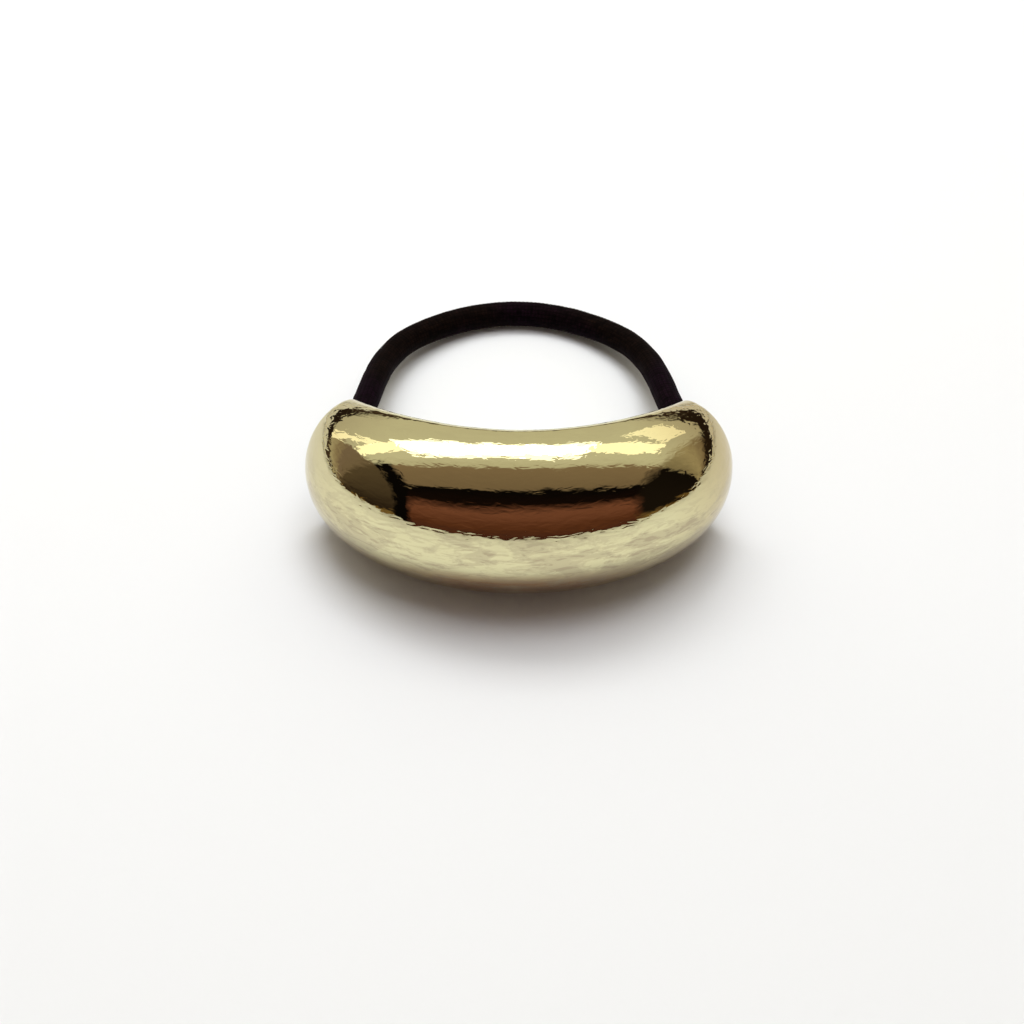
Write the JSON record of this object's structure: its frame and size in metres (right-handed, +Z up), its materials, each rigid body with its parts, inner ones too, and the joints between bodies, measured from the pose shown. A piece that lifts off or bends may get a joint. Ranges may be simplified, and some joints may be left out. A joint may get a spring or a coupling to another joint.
{
  "type": "ponytail cuff",
  "caption": "Hollow crescent-shaped ponytail cuff with bright, finely wrinkled pale gold plating and a round black elastic threaded through its open ends.",
  "frame": {"origin": "on the table, under the middle of the cuff's footprint", "axes": "+Z up from the table, +X across the cuff from end to end, -Y out of its bulging front, and the elastic loop lies towards +Y"},
  "size_m": [0.062, 0.0667, 0.0249],
  "materials": {
    "gold_plating": "mirror-bright pale gold plating over a finely wrinkled surface",
    "black_elastic": "matt knitted cover with fine ribs along it"
  },
  "bodies": {
    "root": {"cuff": "gold_plating", "elastic_loop": "black_elastic"}
  },
  "joints": []
}
